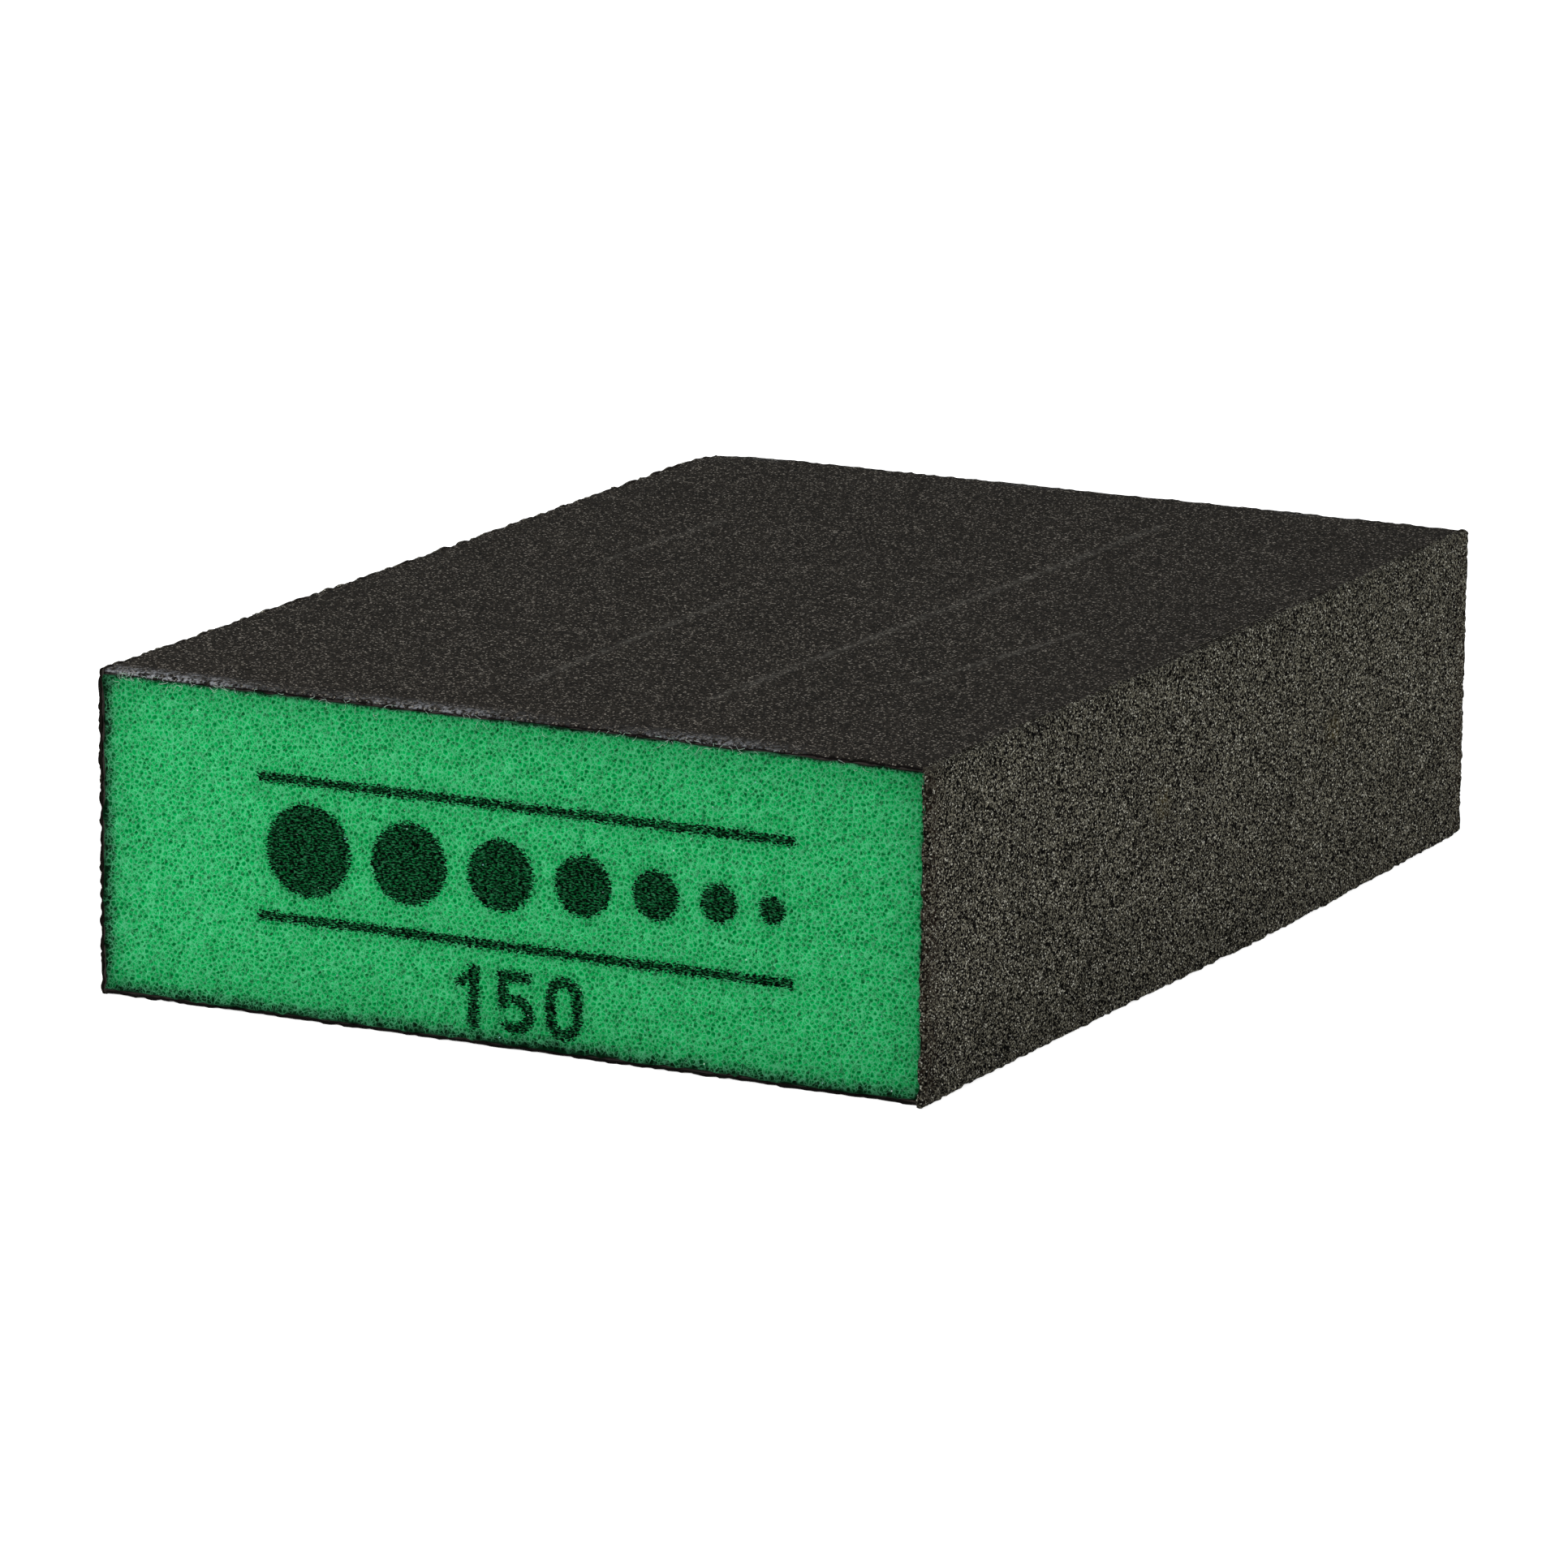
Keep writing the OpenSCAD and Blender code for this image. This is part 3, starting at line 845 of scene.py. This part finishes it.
def makeLayer(side, kind, s, e):
    low, high = inMm(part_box(side + "_" + kind))
    foamLow, foamHigh = inMm(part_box("foam_core"))
    axis = int(np.argmax(np.abs(coatSides[side])))
    across, sign = 2 - axis, coatSides[side][axis]
    foamPlane = foamHigh[axis] if sign > 0 else foamLow[axis]
    inner, outer = sorted(sign * (plane - foamPlane) for plane in (low[axis], high[axis]))
    us, vs = gridLines(low[across], high[across], s["step"]), gridLines(low[1], high[1], s["step"])
    flat, faces = slabMesh(us, vs, np.linspace(inner, outer, 3))
    u, v, w = flat.T
    share = (w - inner) / (outer - inner)
    front, back = v - low[1], high[1] - v
    fromEnd, fromEdge = np.minimum(front, back), np.minimum(u - low[across], high[across] - u)
    still = np.zeros(len(u))
    seeds, reaches = e["seeds"], e["reaches"]
    own = {key: s["seed"] + step for key, step in e["ownSeeds"].items()}
    pits = still
    if "grain" in s:
        relief, pits = coatRelief(u, v, low, high, across, s, e, own)
        w = w - share * np.minimum(relief, (outer - inner) * e["deepest"])
    # wear along the sawn ends: spots at the front, chance at the rear
    wear = e["wear"] * smoothStep(softNoise(u, still, e["wearSize"], own["wear"]), *e["wearRange"])
    if axis == 2 and sign > 0:
        spots = sum(strength * np.exp(-((u - spot) / spread) ** 2)
                    for spot, spread, strength in e["frontWear"])
        wear = np.where(front < back, np.clip(wear * e["frontChance"] + spots, 0, 1), wear)
    tear, size = e["bevelTear"]
    bevel = e["bevel"] * (e["bevelLeast"] + (1 - e["bevelLeast"]) * wear) \
        * (1 + tear * softNoise(u, still, size, seeds["bevel"]))
    reach = np.clip(bevel - fromEnd, 0, None) / bevel
    crushed = e["bevelShare"] * s.get("crushed", 1.0) * (e["crushLeast"] + (1 - e["crushLeast"]) * wear)
    w = w * (1 - crushed * (1 - np.sqrt(1 - reach ** 2)))
    if axis == 2:  # lumps and notches along the sawn ends of the wide coats
        notch = e["notch"][0] * unitNoise(u, still, e["notch"][1], seeds["notch"] + sign)
        w = w * (1 - notch / coatThickness[axis] * np.exp(-fromEnd / reaches["notch"]))
    if axis == 0:  # the narrow coats carry the block's rounded long edges
        reach = np.clip(e["edgeRadius"] - fromEdge, 0, None)
        rounded = e["edgeRadius"] - np.sqrt(e["edgeRadius"] ** 2 - reach ** 2)
        w = w * (1 - rounded / coatThickness[axis])
        stray = sum(e[key][0] / 2 * softNoise(v, over, e[key][1], seeds[key] + sign)
                    for key, over in (("edgeWave", still), ("edgeTear", w)))
        inward = np.where(u < (low[across] + high[across]) / 2, 1, -1)
        u = u + inward * stray * np.exp(-fromEdge / reaches["edge"])
    wander = e["cutBack"] + e["cutWave"][0] * unitNoise(u, still, e["cutWave"][1], seeds["cut"] + sign) \
        + e["cutTear"][0] * unitNoise(u, w, e["cutTear"][1], own["cutTear"])
    wander = wander * s.get("cutBackShare", 1) - s.get("cutOut", 0)
    v = v + wander * (np.exp(-front / reaches["cut"]) - np.exp(-back / reaches["cut"]))
    tear, size = e["overlapTear"]
    closed = s.get("overlap", 0) * (1 - tear + tear * softNoise(u, still, size, own["overlap"]))
    w = w - closed * (1 - share) * np.exp(-fromEnd / reaches["overlap"])
    spot = np.zeros((len(u), 3))
    spot[:, across], spot[:, 1], spot[:, axis] = u, v, foamPlane + sign * w
    away = np.linalg.norm(spot - e["lumpPlace"], axis=1)
    spot += np.outer(np.exp(-(away / e["lumpReach"]) ** 2), e["lumpPush"])
    scuff, stain = still, still
    for start, end, width in s.get("scuffs", []):
        inside = -strokeDistance(u, v, start, end, width)
        scuff = np.maximum(scuff, smoothStep(inside, *e["scuffRange"]))
    for (stainV, stainU), radius in s.get("stains", []):
        stain = np.maximum(stain, smoothStep(-np.hypot(u - stainU, v - stainV), -radius, 0))
    cut = s.get("cutDark", 1) * (1 - smoothStep(fromEnd, 0, e["cutWidth"]))
    edgeLight = still + 1
    if axis == 0:  # painted shade: less light along the narrow coats' long edges
        for inside, (strength, reach) in zip((high[across] - u, u - low[across]), e["edgeShades"]):
            edgeLight *= 1 - strength * np.exp(-np.clip(inside, 0, None) / reach)
    values = {"fromEnd": fromEnd, "fromEdge": fromEdge, "pits": pits, "scuff": scuff, "stain": stain,
              "wear": wear, "cut": cut, "edgeLight": edgeLight}
    return meshPiece(side + kind.capitalize(), settled(spot), faces, values)


commonGrit = {               # of all four coats, sizes in mm
    "grainSize": 0.12,       # 180 grit is about 0.08 mm: drawn coarser here, or it would not show
    "cloudSize": 5.0, "brokenSize": 0.42,
    "scuff": "#6C6A64", "scuffShare": 0.5, "stain": "#6A603C", "stainShare": 0.4,
    "pit": "#0C0A08", "pitShare": 0.8, "brown": "#2E231A", "edge": "#7C7A71",
    "bumpHeight": 0.06, "roughness": (0.8, 0.45), "specular": 0.05,
}
commonRanges = {"cloud": (0.3, 0.7, 0.92, 1.08), "broken": (0.38, 0.66)}
wideGrit = commonGrit | {    # the wide faces' coat is fine and even
    "clumpSize": 0.22, "grainShare": 0.78, "fibrousSize": 0.3, "bump": 0.3,
    "dark": "#11100E", "pale": "#3D3933", "glint": "#8C867C", "rim": "#94979C", "cut": "#0B0807",
    "glints": (0.909, 0.951),    # the palest grains, lit with a painted highlight
    "ranges": commonRanges | {
        "gap": (0.3, 0.75, 1.0, 0.75), "paler": (0.20, 0.95), "brown": (0.2, 3.0, 0.0, 0.0),
        "rim": (0.0, 2.6, 1.0, 0.0), "fibrous": (0.44, 0.62), "endShade": (0.1, 0.7, 0.8, 1.0),
        "edge": (0.1, 0.45, 0.0, 0.0),
    },
}
narrowGrit = commonGrit | {  # the narrow faces' coat lies on sawn foam, rough and salt-and-pepper
    "clumpSize": 0.18, "grainShare": 0.89, "fibrousSize": 0.4, "bump": 1.0,
    "dark": "#030201", "pale": "#9C9886", "glint": "#E4E2D2", "rim": "#4A463E", "cut": "#0F0A06",
    "glints": (0.922, 0.958),
    "ranges": commonRanges | {
        "gap": (0.3, 0.75, 1.0, 0.3), "paler": (0.40, 0.84), "brown": (0.2, 3.0, 0.6, 0.0),
        "rim": (0.0, 0.5, 1.0, 0.0), "fibrous": (0.46, 0.62), "endShade": (0.1, 0.7, 0.9, 1.0),
        "edge": (0.1, 0.45, 0.15, 0.0),
    },
}


def gritMaterial(name, s):
    # black silicon carbide grain bound by resin: near black, with pale broken facets, and painted highlights
    # where facets would catch the light
    material, tree, place = startMaterial(name)
    fromEnd, fromEdge, pits, scuff, stain, wear, cut, edgeLight = (
        addNode(tree, "Attribute", {"attribute_name": key}).outputs["Fac"]
        for key in ("fromEnd", "fromEdge", "pits", "scuff", "stain", "wear", "cut", "edgeLight"))
    grains = addNode(tree, "TexVoronoi", {}, sized(place, s["grainSize"]))
    grey = addNode(tree, "SeparateColor", {}, {0: grains.outputs["Color"]})
    clump, cloud, rough, fibres = (
        addNode(tree, "TexNoise", {}, sized(place, s[key + "Size"], Detail=detail, Roughness=roughness))
        for key, detail, roughness in (
            ("clump", 3.0, 0.65), ("cloud", 2.0, 0.5), ("broken", 3.0, 0.5), ("fibrous", 4.0, 0.7)))
    lit = addNode(tree, "Mix", {"data_type": "FLOAT"}, {0: s["grainShare"], 2: clump, 3: grey})
    # painted highlight: the palest grains take the glint colour
    glint = addNode(tree, "MapRange", {}, ranged(grey, s["glints"]))
    sources = {
        "gap": grains, "paler": lit, "cloud": cloud, "broken": rough, "brown": fromEnd,
        "rim": fromEnd, "fibrous": fibres, "endShade": fromEnd, "edge": fromEdge}
    share = {key: addNode(tree, "MapRange", smoothRange, ranged(source, s["ranges"][key]))
             for key, source in sources.items()}
    # one coarser noise breaks up scuffs, stains, the resin's brown next to the ends, and the worn edge
    broken = share["broken"]
    colour = layered(tree, s["dark"], (
        (mixed, s["pale"], share["paler"]),
        (mixed, s["glint"], glint),
        # painted shade in the gaps between grains
        (shaded, share["gap"], 1.0),
        (shaded, share["cloud"], 1.0),
        (mixed, s["scuff"], scuff, broken, s["scuffShare"]),
        (mixed, s["stain"], stain, broken, s["stainShare"]),
        # painted shade in the pits, over their real depth
        (mixed, s["pit"], pits, s["pitShare"]),
        (mixed, s["brown"], share["brown"], broken),
        (shaded, share["endShade"], 1.0),
        (mixed, s["rim"], share["rim"], wear, share["fibrous"]),
        (mixed, s["edge"], share["edge"], broken),
        # painted shade along the narrow coats' long edges
        (shaded, edgeLight, 1.0),
        (mixed, s["cut"], cut)))
    height = addNode(tree, "Math", {"operation": "ADD"}, {0: share["gap"], 1: clump})
    roughness = addNode(tree, "MapRange", {}, ranged(glint, (0, 1, *s["roughness"])))
    endBumped(tree, s, colour, roughness, height)
    return material


binderLook = {
    "dark": "#0B0805", "brown": "#241B14", "mottleSize": 0.3, "bump": 0.5, "bumpHeight": 0.05,
    "roughness": 0.6, "specular": 0.2,
}


def binderMaterial(s):
    # dried latex and phenolic resin, knife-coated: a near-black brown film with a dull gloss
    material, tree, place = startMaterial("driedLatexBinder")
    mottle = addNode(tree, "TexNoise", {}, sized(place, s["mottleSize"], Detail=2.0))
    colour = layered(tree, s["dark"], ((mixed, s["brown"], mottle),))
    endBumped(tree, s, colour, s["roughness"], mottle)
    return material


foamTop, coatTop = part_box("foam_core")[1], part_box("right_grit")[1]
coatThickness = [(coatTop[axis] - foamTop[axis]) / mm for axis in range(3)]   # of both layers together
finishes = {
    "grit": gritMaterial("siliconCarbideGrit", wideGrit),
    "side_grit": gritMaterial("siliconCarbideGritOnSawnFoam", narrowGrit),
    "binder": binderMaterial(binderLook),
}
slotOf = {entry["node"]: entry["material_slot"] for entry in frame["record"]["subparts"]}
for (side, kind), settings in coatLayers.items():
    node = side + "_" + kind
    layer = makeLayer(side, kind, settings, coatEdges)
    layer.data.materials.append(finishes[slotOf[node]])
    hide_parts(node)
    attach(layer, body)
    print(layer.name + ":", len(layer.data.polygons), "faces")
